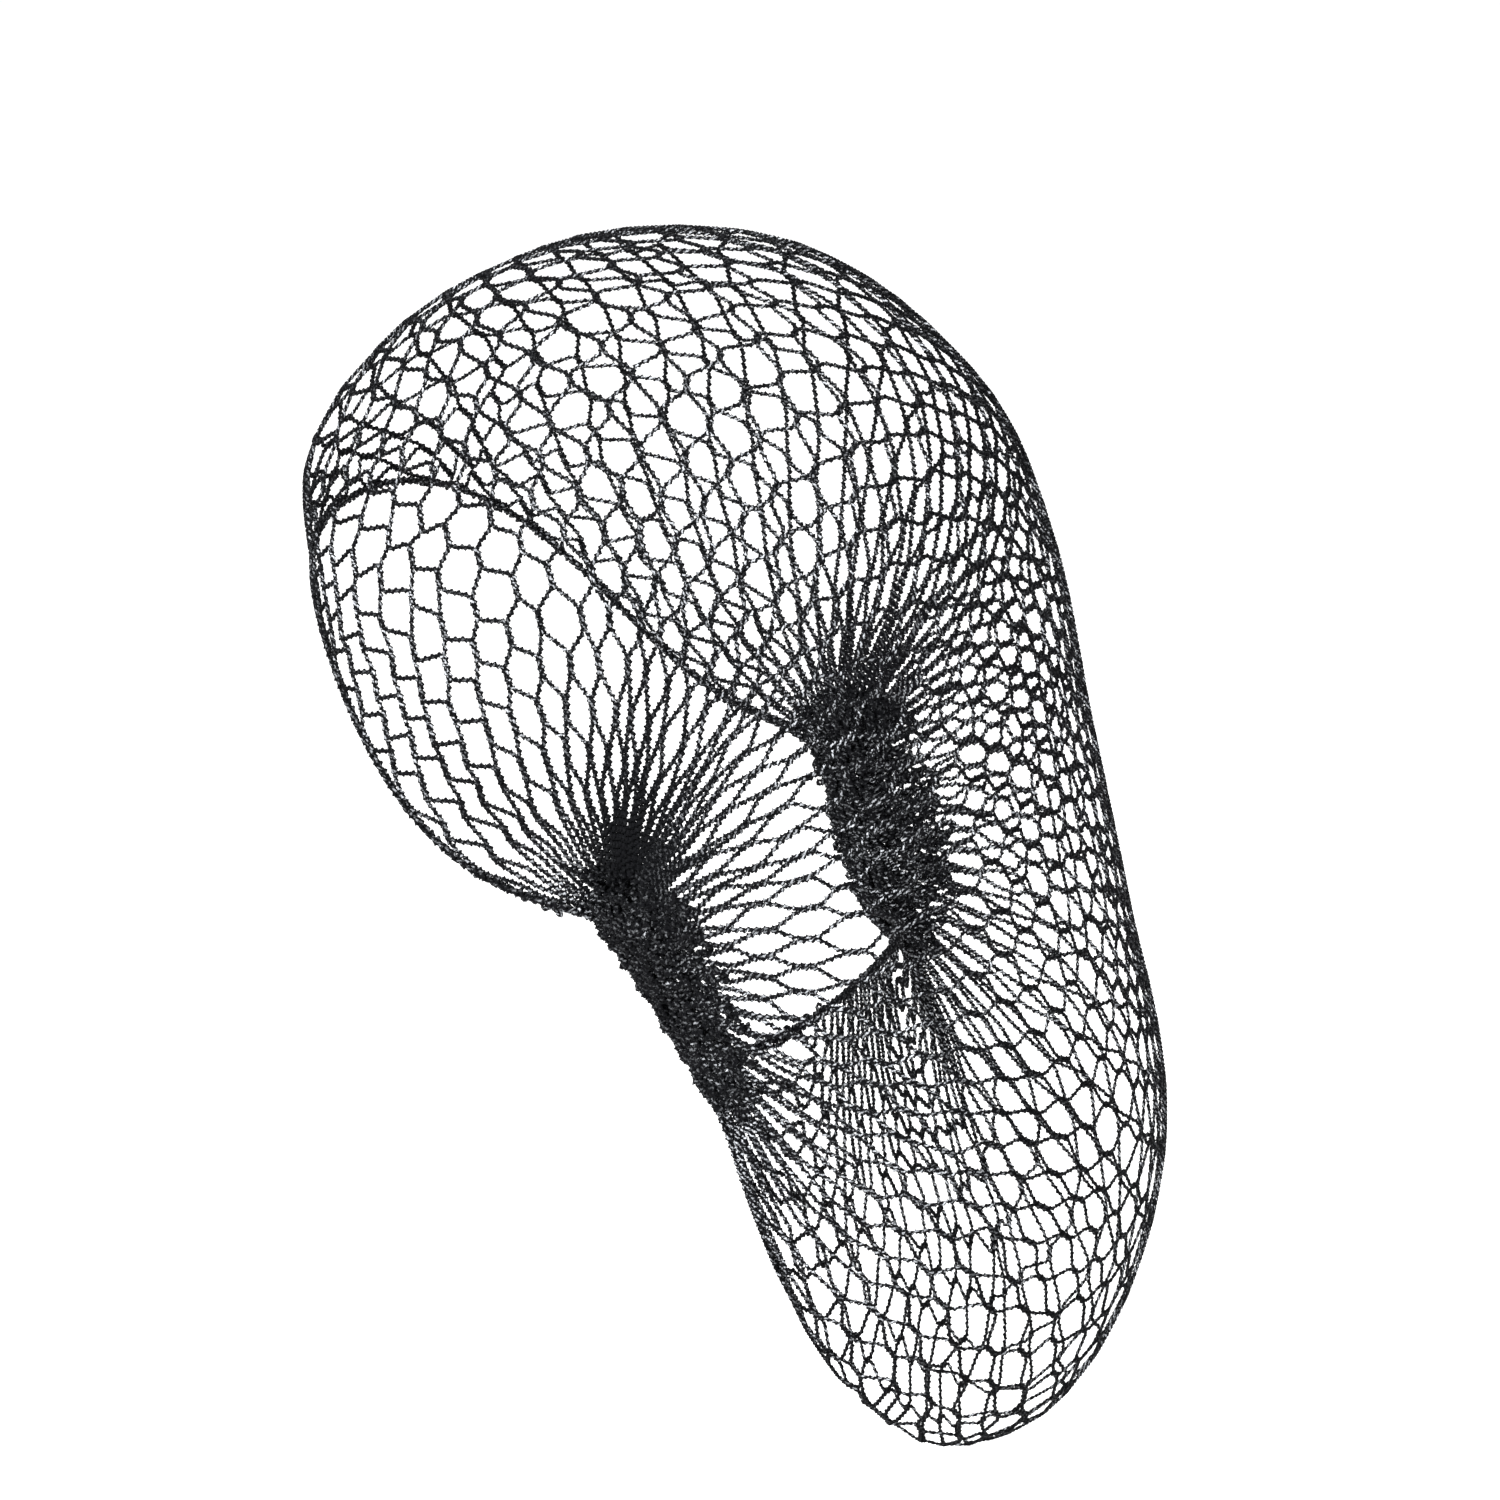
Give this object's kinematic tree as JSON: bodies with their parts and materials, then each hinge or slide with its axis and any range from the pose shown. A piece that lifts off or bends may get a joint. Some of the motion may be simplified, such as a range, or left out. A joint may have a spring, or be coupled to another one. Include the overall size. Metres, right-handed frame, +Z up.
{
  "type": "knitted mesh hairnet",
  "caption": "Knitted black mesh hairnet that covers the crown and holds the hair in a pouch behind the neck, with an elastic edge and a gathered band at each temple.",
  "frame": {"origin": "where the crown of the net sits on the top of the head, on the inner face of the mesh", "axes": "+Z up, -Y the way the wearer faces, +X the wearer's left"},
  "size_m": [0.175, 0.265, 0.3602],
  "materials": {
    "knitted_mesh": "black nylon chain knit, slightly glossy",
    "edge_cord": "black nylon chain over elastic",
    "gathered_chains": "black nylon chains packed side by side"
  },
  "bodies": {
    "root": {"net_bag": "knitted_mesh", "front_elastic": "edge_cord", "nape_elastic": "edge_cord", "left_gather": "gathered_chains", "right_gather": "gathered_chains"}
  },
  "joints": []
}
